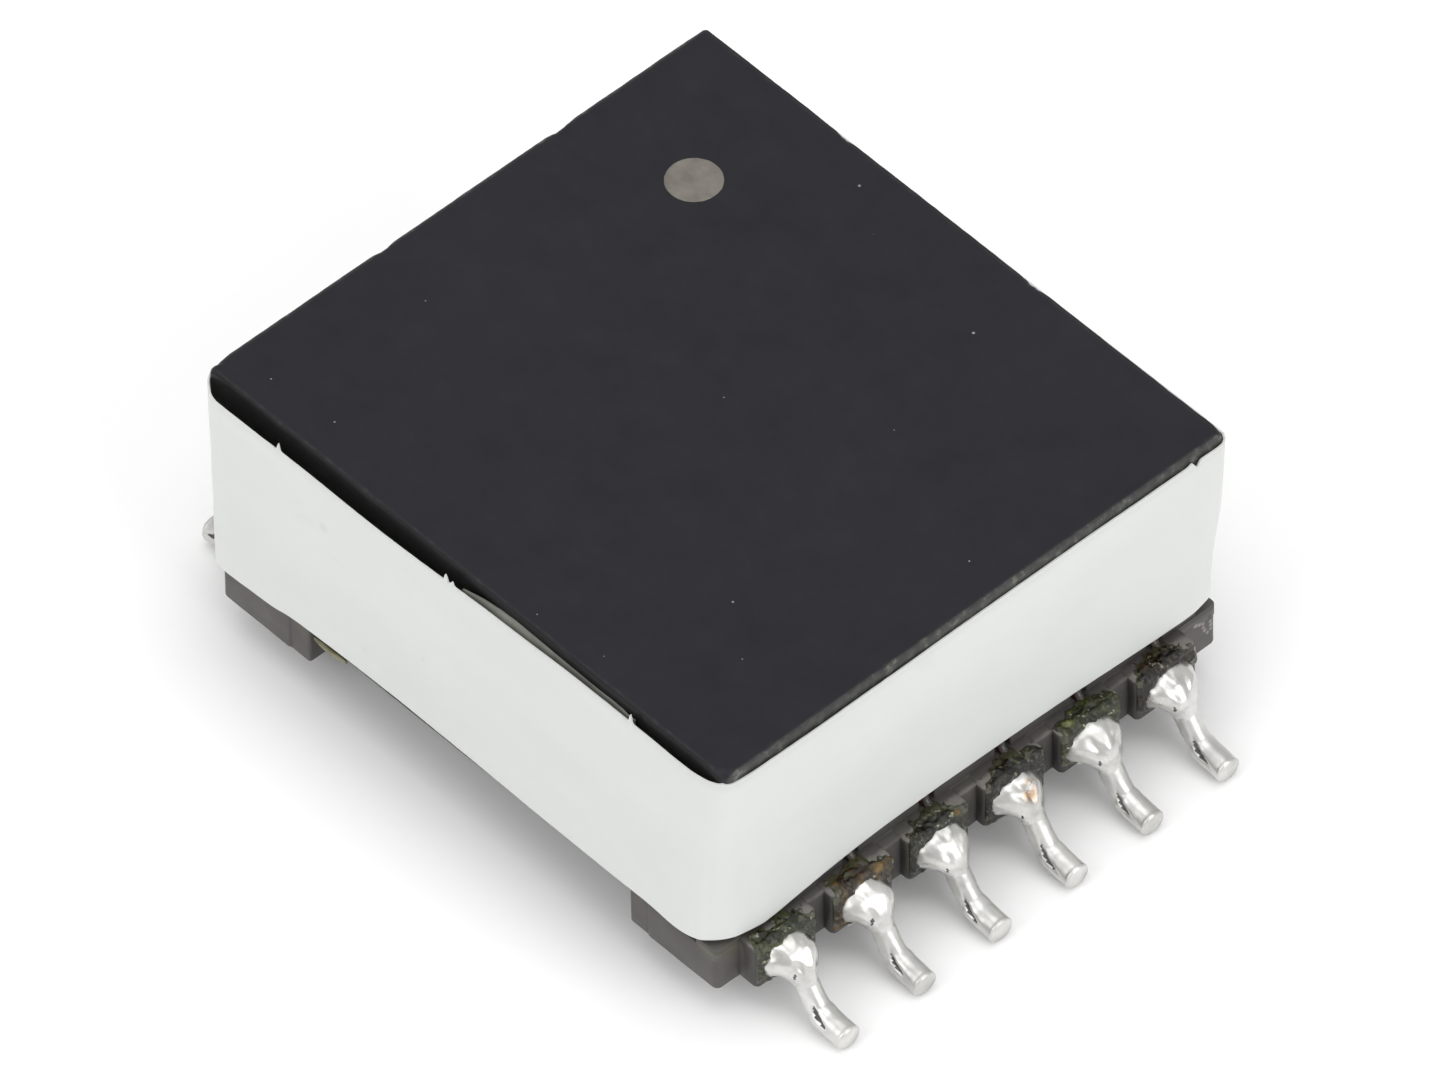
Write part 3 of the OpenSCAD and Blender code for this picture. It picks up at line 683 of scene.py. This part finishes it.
def make_former():
    V, F = [], []
    slab(V, F, -10.59, 10.59, -7.0, 7.0, 4.70, 5.15, 0.2, 0.05)
    slab(V, F, -10.59, 10.59, -7.0, 7.0, 8.10, 8.55, 0.2, 0.05)
    n = 96
    prof = [(3.86, 4.70), (7.53, 4.70), (7.56, 4.73), (7.56, 5.12), (7.53, 5.15), (4.2, 5.15), (4.2, 8.10), (7.53, 8.10), (7.56, 8.13), (7.56, 8.52), (7.53, 8.55), (3.86, 8.55)]
    k = len(V)
    for i in range(n):
        a = 2 * math.pi * i / n
        for r, z in prof:
            V.append((-0.15 + r * math.cos(a), r * math.sin(a), z))
    F += grid_faces(n, len(prof), wrap_m=True, base=k)
    for side in (-1, 1):
        def sl(x0, x1, *rest, **kw):
            slab(V, F, *(sorted((side * x0, side * x1))), *rest, **kw)
        sl(6.84, 7.70, -9.67, 9.97, 1.24, 2.65, rc=0.10, b=0.05, n=200, wob=0.008, seed=70 + side)
        sl(7.54, 10.59, -9.72, 10.02, 1.24, 2.65, rc=0.22, b=0.07, n=260, wob=0.012, seed=71 + side)
        sl(9.62, 10.59, -9.72, 10.02, 2.40, 2.90, rc=0.16, b=0.05, n=260, wob=0.010, seed=73 + side)
        sl(9.62, 9.98, -8.95, 9.25, 2.80, 5.15, rc=0.05, b=0.03)
        cuts = [-8.95]
        for y in PINS:
            cuts += [y - 0.05, y + 0.55]
        cuts.append(9.25)
        for a, b in zip(cuts[::2], cuts[1::2]):
            sl(9.90, 10.53, a, b, 2.80, 5.15, rc=0.05, b=0.03)
        for i, y in enumerate(PINS):
            sl(10.30, 11.34, y - 1.21, y + 1.21, 1.24, 2.90, rc=0.20, b=0.12, n=60, wob=0.018, seed=80 + i + side)
            if i < 5:
                sl(10.30, 10.96, y + 1.12, y + 1.88, 1.26, 2.88, rc=0.10, b=0.08, n=40, wob=0.010, seed=90 + i + side)
    return piece("former_moulding", V, F, PLASTIC, ("coil_former",), angle=35)


make_former()


def make_bead():
    """Glue squeezed out at the inner corner of the rear rail, under the core."""
    V, F = [], []
    n, m = 48, 24
    for i in range(n):
        a = 2 * math.pi * i / n
        for j in range(m):
            b = math.pi * (j / (m - 1) - 0.5)
            ca, sa, cb, sb = math.cos(a), math.sin(a), math.cos(b), math.sin(b)
            r = 1 + 0.16 * nz(ca * cb, sa * cb, sb, 1.6, 91) + 0.06 * nz(ca * cb, sa * cb, sb, 4.5, 92)
            # drawn out along the core's edge
            V.append((-6.02 + 0.56 * r * ca * cb + 0.30 * ca * cb * max(0.0, ca), -9.68 + 0.13 * r * sa * cb, 2.56 + 0.10 * r * sb))
    F += grid_faces(n, m)
    F.append(tuple(i * m for i in range(n))[::-1])
    F.append(tuple(i * m + m - 1 for i in range(n)))
    return piece("glue_bead", V, F, GLUE, ("adhesive_bead",))


make_bead()


# ------------------------------------------------------- terminals and solder

R1, R2, FOOT = 0.65, 1.1, math.radians(7)
STUB_X, STUB_Z, TOE_Z, L0 = 11.35, 2.06, 0.36, 0.95


class Wire:
    """The middle line of one side's terminals; slope and foot tip differ between the two sides."""

    def __init__(self, toe, drop):
        self.toe, self.drop = toe, math.radians(drop)
        d = self.drop
        self.e1 = (STUB_X + R1 * math.sin(d), STUB_Z - R1 * (1 - math.cos(d)))
        tx, tz = R2 * (math.sin(d) - math.sin(FOOT)), -R2 * (math.cos(FOOT) - math.cos(d))
        self.run = (self.e1[1] + tz - (toe - self.e1[0] - tx) * math.tan(FOOT) - TOE_Z) / (math.sin(d) - math.cos(d) * math.tan(FOOT))
        self.e2 = (self.e1[0] + self.run * math.cos(d), self.e1[1] - self.run * math.sin(d))
        self.e3 = (self.e2[0] + tx, self.e2[1] + tz)
        self.l1, self.l3 = R1 * d, R2 * (d - FOOT)
        self.heel = L0 + self.l1 + self.run
        self.length = self.heel + self.l3 + math.hypot(toe - self.e3[0], TOE_Z - self.e3[1])

    def at(self, s):
        """Point (x, z) and slope angle, s mm from inside the block."""
        if s < L0:
            return STUB_X - L0 + s, STUB_Z, 0.0
        s -= L0
        if s < self.l1:
            a = s / R1
            return STUB_X + R1 * math.sin(a), STUB_Z - R1 * (1 - math.cos(a)), -a
        s -= self.l1
        if s < self.run:
            return self.e1[0] + s * math.cos(self.drop), self.e1[1] - s * math.sin(self.drop), -self.drop
        s -= self.run
        if s < self.l3:
            a = self.drop - s / R2
            return self.e2[0] + R2 * (math.sin(self.drop) - math.sin(a)), self.e2[1] - R2 * (math.cos(a) - math.cos(self.drop)), -a
        s -= self.l3
        return self.e3[0] + s * math.cos(FOOT), self.e3[1] - s * math.sin(FOOT), -FOOT


WIRES = {1: Wire(13.948, 60), -1: Wire(13.35, 74)}


def tube(V, F, wire, yp, side, s0, s1, ns, nt, radius):
    """Sweeps a section along the wire; radius(s, th) gives the distance from its middle. th = 0 is +Y, 90 degrees is up."""
    base = len(V)
    for i in range(ns):
        s = s0 + (s1 - s0) * i / (ns - 1)
        x, z, a = wire.at(s)
        for j in range(nt):
            th = 2 * math.pi * j / nt
            r = radius(s, th)
            ly, lu = r * math.cos(th), r * math.sin(th)
            vx, vz = x - math.sin(a) * lu, z + math.cos(a) * lu
            V.append((side * vx, yp + ly, max(vz, 0.0)))
    F += grid_faces(ns, nt, wrap_n=False, wrap_m=True, base=base, flip=side < 0)
    a, b = tuple(base + j for j in range(nt)), tuple(base + (ns - 1) * nt + j for j in range(nt))
    F.append(a[::-1] if side > 0 else a)
    F.append(b if side > 0 else b[::-1])


def terminal(k):
    side = 1 if k <= 6 else -1
    i = (k - 1) % 6
    yp = PINS[i]
    w = WIRES[side]
    rnd = random.Random(40 + k)
    near = 1 if side > 0 else -1
    # a drawn slit beside the heel, running out along the foot, and a short one on the lump
    slit = (w.heel + w.l3 * 0.75 + rnd.uniform(-0.05, 0.08), math.radians(rnd.uniform(146, 158)), rnd.uniform(0.46, 0.56), rnd.uniform(0.13, 0.17), rnd.uniform(0.08, 0.10))
    dents = [slit]
    for _ in range(3):
        dents.append((rnd.uniform(L0 + w.l1 + 0.1, w.length - 0.5), math.radians(rnd.uniform(60, 220)), rnd.uniform(0.2, 0.4), rnd.uniform(0.2, 0.4), rnd.uniform(-0.02, 0.03)))
    coat0 = w.heel + w.l3 * 0.55

    def radius(s, th):
        x, z, a = w.at(s)
        r = 0.375
        r += 0.020 * nz(x * 1.0, yp + 0.4 * math.cos(th), z + 0.4 * math.sin(th), 1.3, k) + 0.007 * nz(x, yp + math.cos(th) * 0.4, z + math.sin(th) * 0.4, 4.3, k + 2)
        # thick tinning on the foot, which starts with a step beside the heel
        cs = smooth(coat0 - 0.10, coat0 + 0.10 + 0.15 * max(0.0, math.sin(th)), s)
        r += 0.055 * cs * (1 - 0.35 * max(0.0, math.sin(th)))
        # fill in the bend's inner side
        r += 0.05 * math.exp(-((s - (w.heel + 0.25)) / 0.40) ** 2) * max(0.0, math.sin(th)) ** 2
        for ds, dt, ws, wt, dp in dents:
            dth = (th - dt - 0.5 * (s - ds) + math.pi) % (2 * math.pi) - math.pi
            q = ((s - ds) / ws) ** 2 + (dth / wt) ** 2
            if q < 6:
                r -= dp * math.exp(-q)
        # rounded cut end, with a raised rim of tin
        end = w.length - s
        r += 0.012 * math.exp(-((end - 0.09) / 0.05) ** 2)
        if end < 0.06:
            r -= 0.05 * (1 - end / 0.06) ** 2
        return r

    V, F = [], []
    ns, nt = 150, 52
    s0 = 0.1
    tube(V, F, w, yp, side, s0, w.length, ns, nt, radius)
    # faces inside the slit take the painted dark reflection
    idx = []
    for a in range(ns - 1):
        s = s0 + (w.length - s0) * (a + 0.5) / (ns - 1)
        for b in range(nt):
            th = 2 * math.pi * (b + 0.5) / nt
            dth = (th - slit[1] - 0.5 * (s - slit[0]) + math.pi) % (2 * math.pi) - math.pi
            q = ((s - slit[0]) / (slit[2] * 1.05)) ** 2 + (dth / (slit[3] * 1.25)) ** 2
            idx.append(1 if q + 0.25 * nz(s, th, 0, 3.0, k + 60) < 0.75 else 0)
    idx += [0, 0]
    return piece(f"terminal_wire_{k}", V, F, [TIN, TIN_PAINTED_REFLECTION], (f"terminal_{k}",), angle=60, mat_index=idx)


def solder(k):
    side = 1 if k <= 6 else -1
    i = (k - 1) % 6
    yp = PINS[i]
    w = WIRES[side]
    rnd = random.Random(90 + k)
    left, right = rnd.uniform(0.92, 1.00), rnd.uniform(0.78, 0.88)
    up, down = rnd.uniform(0.66, 0.74), rnd.uniform(0.86, 0.98)
    ln = rnd.uniform(0.96, 1.12)
    s_face = L0 - 0.02
    # a knob on the upper right shoulder, a fold below it, and smaller lumps
    lumps = [(rnd.uniform(0.25, 0.42), math.radians(rnd.uniform(38, 60)), 0.22, 0.42, rnd.uniform(0.09, 0.14)),
             (rnd.uniform(0.45, 0.60), math.radians(rnd.uniform(120, 150)), 0.16, 0.30, -rnd.uniform(0.05, 0.09)),
             (rnd.uniform(0.15, 0.30), math.radians(rnd.uniform(165, 200)), 0.30, 0.55, rnd.uniform(0.05, 0.09))]
    lumps += [(rnd.uniform(0, 0.8), rnd.uniform(0, 2 * math.pi), rnd.uniform(0.10, 0.2), rnd.uniform(0.22, 0.45), rnd.uniform(-0.05, 0.06)) for _ in range(9)]
    # a small painted dark spot, in the dark reflection colour, stands for a pit that has no shape of its own
    pit_shade_spot = (rnd.uniform(0.62, 0.8), math.radians(rnd.uniform(140, 165)), 0.10, 0.10)

    def radius(s, th):
        t = (s - s_face) / ln
        c, sn = math.cos(th), math.sin(th)
        wd = right if c > 0 else left
        ru = up if sn > 0 else down
        big = 1 / math.sqrt((c / wd) ** 2 + (sn / ru) ** 2)
        small = 0.385
        tt = min(1.0, max(0.0, t))
        f = (1 - tt ** 1.35) ** 1.3
        r = small + (big - small) * f
        x, z, a = w.at(s)
        amp = 0.06 * max(0.0, 1 - max(0.0, t - 0.3))
        r += amp * nz(x, yp + c, z + sn, 1.7, k + 20) + 0.45 * amp * nz(x, yp + c, z + sn, 4.8, k + 30)
        for ds, dt, ws, wt, dp in lumps:
            dth = (th - dt + math.pi) % (2 * math.pi) - math.pi
            q = ((s - s_face - ds) / ws) ** 2 + (dth / wt) ** 2
            if q < 6:
                r += dp * math.exp(-q) * min(1.0, 1.3 - t)
        # keeps a little of the block's upper edge free
        if t < 0.25 and sn > 0:
            r = min(r, 0.80 / max(sn, 0.2))
        if t > 1:
            r = min(r, small + 0.02) - 0.04 * smooth(1.0, 1.22, t)
        return r

    V, F = [], []
    ns, nt = 80, 64
    s1 = s_face + ln * 1.22
    tube(V, F, w, yp, side, s_face, s1, ns, nt, radius)
    idx = []
    for a in range(ns - 1):
        s = s_face + (s1 - s_face) * (a + 0.5) / (ns - 1)
        for b in range(nt):
            th = 2 * math.pi * (b + 0.5) / nt
            dth = (th - pit_shade_spot[1] - 0.9 * (s - s_face - pit_shade_spot[0]) + math.pi) % (2 * math.pi) - math.pi
            q = ((s - s_face - pit_shade_spot[0]) / pit_shade_spot[2]) ** 2 + (dth / pit_shade_spot[3]) ** 2
            idx.append(1 if q + 0.4 * nz(s, th, 0, 5.0, k + 66) < 0.6 else 0)
    idx += [0, 0]
    return piece(f"solder_fillet_{k}", V, F, [SOLDER, TIN_PAINTED_REFLECTION], (f"solder_joint_{k}",), angle=70, mat_index=idx)


for k in range(1, 13):
    terminal(k)
    solder(k)


# -------------------------------------------------------------- burnt flux

def flux(k):
    """A crust arching over the solder on the block's outer face, thinning out to varnish on the ledge and over the lead."""
    side = 1 if k <= 6 else -1
    i = (k - 1) % 6
    yp = PINS[i]
    rnd = random.Random(140 + k)
    ny, ns = 96, 88
    z_lo, z_top, x_face, x_in = 1.40, 2.9, 11.34, 10.62
    len_a = z_top - z_lo
    len_b = x_face - x_in
    cy, ry, rz = rnd.uniform(-0.16, 0.0), rnd.uniform(1.42, 1.56), rnd.uniform(1.24, 1.40)
    low = rnd.uniform(0.2, 0.6)
    V, thin = [], []
    for a in range(ny):
        y = -1.16 + 2.32 * a / (ny - 1)
        for b in range(ns):
            s = (len_a + len_b) * b / (ns - 1)
            # path up the face, round the top edge, in over the ledge
            r = 0.13
            if s < len_a - r:
                px, pz, nx_, nz_ = x_face, z_lo + s, 1.0, 0.0
            elif s < len_a + r:
                t = (s - (len_a - r)) / (2 * r) * math.pi / 2
                px, pz, nx_, nz_ = x_face - r + r * math.cos(t), z_top - r + r * math.sin(t), math.cos(t), math.sin(t)
            else:
                px, pz, nx_, nz_ = x_face - (s - len_a), z_top, 0.0, 1.0
            # follow the block's rounded ends
            rim_y = max(0.0, abs(y) - 1.04)
            e = y + yp
            u, v = (y - cy) / ry, (z_lo + s - 2.0) / (rz if z_lo + s < 2.0 else 1.62)
            m = 1 - math.hypot(u, v) ** 2
            # it reaches down only on the left
            m -= 2.2 * max(0.0, -v - (low if y < 0 else -0.15))
            m += 0.42 * nz(e, s, k, 1.5, k) + 0.34 * nz(e, s, k, 3.4, k + 5) + 0.22 * nz(e, s, k, 7.5, k + 9)
            h = 0.0
            if m > 0:
                h = 0.05 + 0.13 * min(1.0, m * 1.1) ** 0.7 * (0.7 + 0.8 * nz(e, s, 3, 2.6, k + 8) + 0.5 * nz(e, s, 6, 6.5, k + 11))
                h = max(h, 0.03)
            # a low swelling where the lead runs underneath
            yl = 0.06 + 0.19 * smooth(len_a - 0.55, len_a + 0.05, s)
            g = smooth(0.40, 0.06, abs(y - yl + 0.03 * nz(e, s, 9, 1.5, k))) * smooth(0.70, 1.00, s)
            h = max(h, (0.11 + 0.03 * nz(e, s, 4, 3.0, k + 3)) * g)
            h -= 0.035 + 0.6 * rim_y
            thin.append(m)
            V.append((side * (px + nx_ * h), yp + y, pz + nz_ * h))
    F = grid_faces(ny, ns, wrap_n=False, flip=side > 0)
    idx = []
    for a in range(ny - 1):
        for b in range(ns - 1):
            idx.append(1 if thin[a * ns + b] < 0.26 + 0.25 * nz(a * 0.2, b * 0.2, k, 0.9, k + 31) else 0)
    # closed behind, inside the block
    rim = [a * ns for a in range(ny)] + [(ny - 1) * ns + b for b in range(1, ns)] + [a * ns + ns - 1 for a in range(ny - 2, -1, -1)] + [b for b in range(ns - 2, 0, -1)]
    o = len(V)
    for a in rim:
        x, y, z = V[a]
        V.append((side * min(side * x, 11.24) if z < 2.8 else x, y, min(z, 2.78)))
    n = len(rim)
    for j in range(n):
        q = (rim[j], rim[(j + 1) % n], o + (j + 1) % n, o + j)
        F.append(q if side > 0 else q[::-1])
    # the back in two flat parts: behind the face and under the ledge
    c0 = len(V)
    V.append((side * 11.20, yp, 2.1))
    for j in range(n):
        q = (o + j, o + (j + 1) % n, c0)
        F.append(q if side > 0 else q[::-1])
    idx += [1] * (len(F) - len(idx))
    node = "flux_residue_front" if side > 0 else "flux_residue_rear"
    return piece(f"flux_crust_{k}", V, F, [FLUX[i], VARNISH], (node,), mat_index=idx)


for k in range(1, 13):
    flux(k)


# ----------------------------------------------------------------- windings

def wire_run(V, F, pts, r, nt=12):
    """A round wire through the given points, closed at both ends."""
    base = len(V)
    for i, p in enumerate(pts):
        a, b = Vector(pts[max(i - 1, 0)]), Vector(pts[min(i + 1, len(pts) - 1)])
        d = (b - a).normalized()
        u = d.cross(Vector((0, 1, 0)) if abs(d.y) < 0.8 else Vector((1, 0, 0))).normalized()
        w = d.cross(u)
        for j in range(nt):
            t = 2 * math.pi * j / nt
            q = Vector(p) + (u * math.cos(t) + w * math.sin(t)) * r
            V.append(tuple(q))
    F += grid_faces(len(pts), nt, wrap_n=False, wrap_m=True, base=base)
    F.append(tuple(base + j for j in range(nt))[::-1])
    F.append(tuple(base + (len(pts) - 1) * nt + j for j in range(nt)))


def winding(k):
    V, F = [], []
    r = 0.175
    lay0, z0, p = 4.2 + 0.02 + r, 5.36, 0.36
    for lay in range(9):
        for j in range(8):
            if (lay * 8 + j) % 6 != k - 1:
                continue
            base, n, m = len(V), 64, 10
            for a in range(n):
                t = 2 * math.pi * a / n
                for b in range(m):
                    q = 2 * math.pi * b / m
                    rr = lay0 + lay * p + r * math.cos(q)
                    V.append((-0.15 + rr * math.cos(t), rr * math.sin(t), z0 + j * p + r * math.sin(q)))
            F += grid_faces(n, m, wrap_m=True, base=base)
    zl = z0 + (k - 1 - (8 * 8) % 6 + 6) % 6 * p
    y = PINS[k - 1]
    for side in (1, -1):
        ys = y + 0.25
        cx = -0.15
        a = math.radians(min(math.degrees(math.atan2(ys, 10.28 - cx * side)), 20))
        start = (cx + side * 7.27 * math.cos(a), 7.27 * math.sin(a), zl)
        pts = [start, (side * 10.0, ys, zl), (side * 10.22, ys, zl - 0.10), (side * 10.28, ys, zl - 0.35), (side * 10.28, ys, 3.45), (side * 10.33, ys, 3.18),
               (side * 10.46, ys, 2.96), (side * 10.62, ys, 2.84), (side * 10.9, ys, 2.78), (side * 11.12, ys - 0.02, 2.76), (side * 11.26, ys - 0.06, 2.66),
               (side * 11.34, y + 0.12, 2.48), (side * 11.38, y + 0.06, 2.3)]
        wire_run(V, F, pts, r * 0.97)
    return piece(f"winding_coil_{k}", V, F, COPPER, (f"winding_{k}",), angle=50)


for k in range(1, 7):
    winding(k)


# ------------------------------------------------------------- pin-one dot

def make_dot():
    V, F = [], []
    n = 160
    cx, cy = -6.76, 5.42 + DY
    rings = [(0.0, 0.016), (0.5, 0.016), (0.8, 0.016), (0.86, 0.012), (0.885, -0.01)]
    V.append((cx, cy, TOP + 0.016))
    for i in range(n):
        a = 2 * math.pi * i / n
        w = 1 + 0.012 * nz(math.cos(a), math.sin(a), 0, 2.2, 3) + 0.010 * nz(math.cos(a), math.sin(a), 0, 9.0, 4)
        for r, z in rings[1:]:
            V.append((cx + r * w * math.cos(a), cy + r * w * math.sin(a), TOP + z))
    m = len(rings) - 1
    F += grid_faces(n, m, base=1, flip=True)
    for i in range(n):
        F.append((0, 1 + i * m, 1 + ((i + 1) % n) * m))
    F.append(tuple(1 + i * m + m - 1 for i in range(n))[::-1])
    return piece("pin_one_mark", V, F, DOT, ("pin_one_dot",))


make_dot()

# -------------------------------------------------------------------- stage

fl = bpy.data.meshes.new("floor")
S = 3.0
fl.from_pydata([(-S, -S, 0), (S, -S, 0), (S, S, 0), (-S, S, 0)], [], [(0, 1, 2, 3)])
floor = bpy.data.objects.new("floor", fl)
bpy.context.scene.collection.objects.link(floor)
fm = Mat("floor_paper", rough=0.8, spec=0.1)
fm.color((0.97, 0.97, 0.97))
fl.materials.append(fm.m)
floor.location = (0, 0, -0.0001)

world = bpy.data.worlds.new("studio")
bpy.context.scene.world = world
world.use_nodes = True
wt = world.node_tree
bg = wt.nodes["Background"]
bg.inputs["Color"].default_value = (1.0, 1.0, 1.0, 1.0)
bg.inputs["Strength"].default_value = 0.72


def area(name, loc, size, power, target=(0, 0, 0.005), color=(1, 1, 1), size_y=None):
    l = bpy.data.lights.new(name, "AREA")
    l.energy = power
    l.size = size
    if size_y:
        l.shape = "RECTANGLE"
        l.size_y = size_y
    l.color = color
    o = bpy.data.objects.new(name, l)
    o.location = loc
    d = Vector(target) - Vector(loc)
    o.rotation_euler = d.to_track_quat("-Z", "Y").to_euler()
    bpy.context.scene.collection.objects.link(o)
    return o


area("softbox_left", (-0.05, -0.42, 0.30), 0.35, 0.62)
area("softbox_right", (0.42, 0.05, 0.26), 0.35, 0.78)
area("softbox_top", (0.02, -0.02, 0.60), 0.45, 0.9)

# ------------------------------------------------------------------- camera

az, el, roll = math.radians(47.962), math.radians(47.868), math.radians(-0.992)
back = Vector((math.sin(az) * math.cos(el), -math.cos(az) * math.cos(el), math.sin(el)))
right = Vector((math.cos(az), math.sin(az), 0))
up = back.cross(right)
c, s = math.cos(roll), math.sin(roll)
xa = right * c + up * s
ya = up * c - right * s
pos = Vector((DX, DY, 5)) + xa * 0.075 + ya * (-0.28) + back * 912.456
cam = bpy.data.cameras.new("camera")
cam.sensor_width = 36
cam.lens = 36 * 31520.07 / 1440
cam.clip_start, cam.clip_end = 0.01, 20
co = bpy.data.objects.new("camera", cam)
m = Matrix.Identity(4)
for r in range(3):
    m[r][0], m[r][1], m[r][2], m[r][3] = xa[r], ya[r], back[r], pos[r] * MM
co.matrix_world = m
bpy.context.scene.collection.objects.link(co)
bpy.context.scene.camera = co
bpy.context.scene.view_settings.view_transform = "Standard"
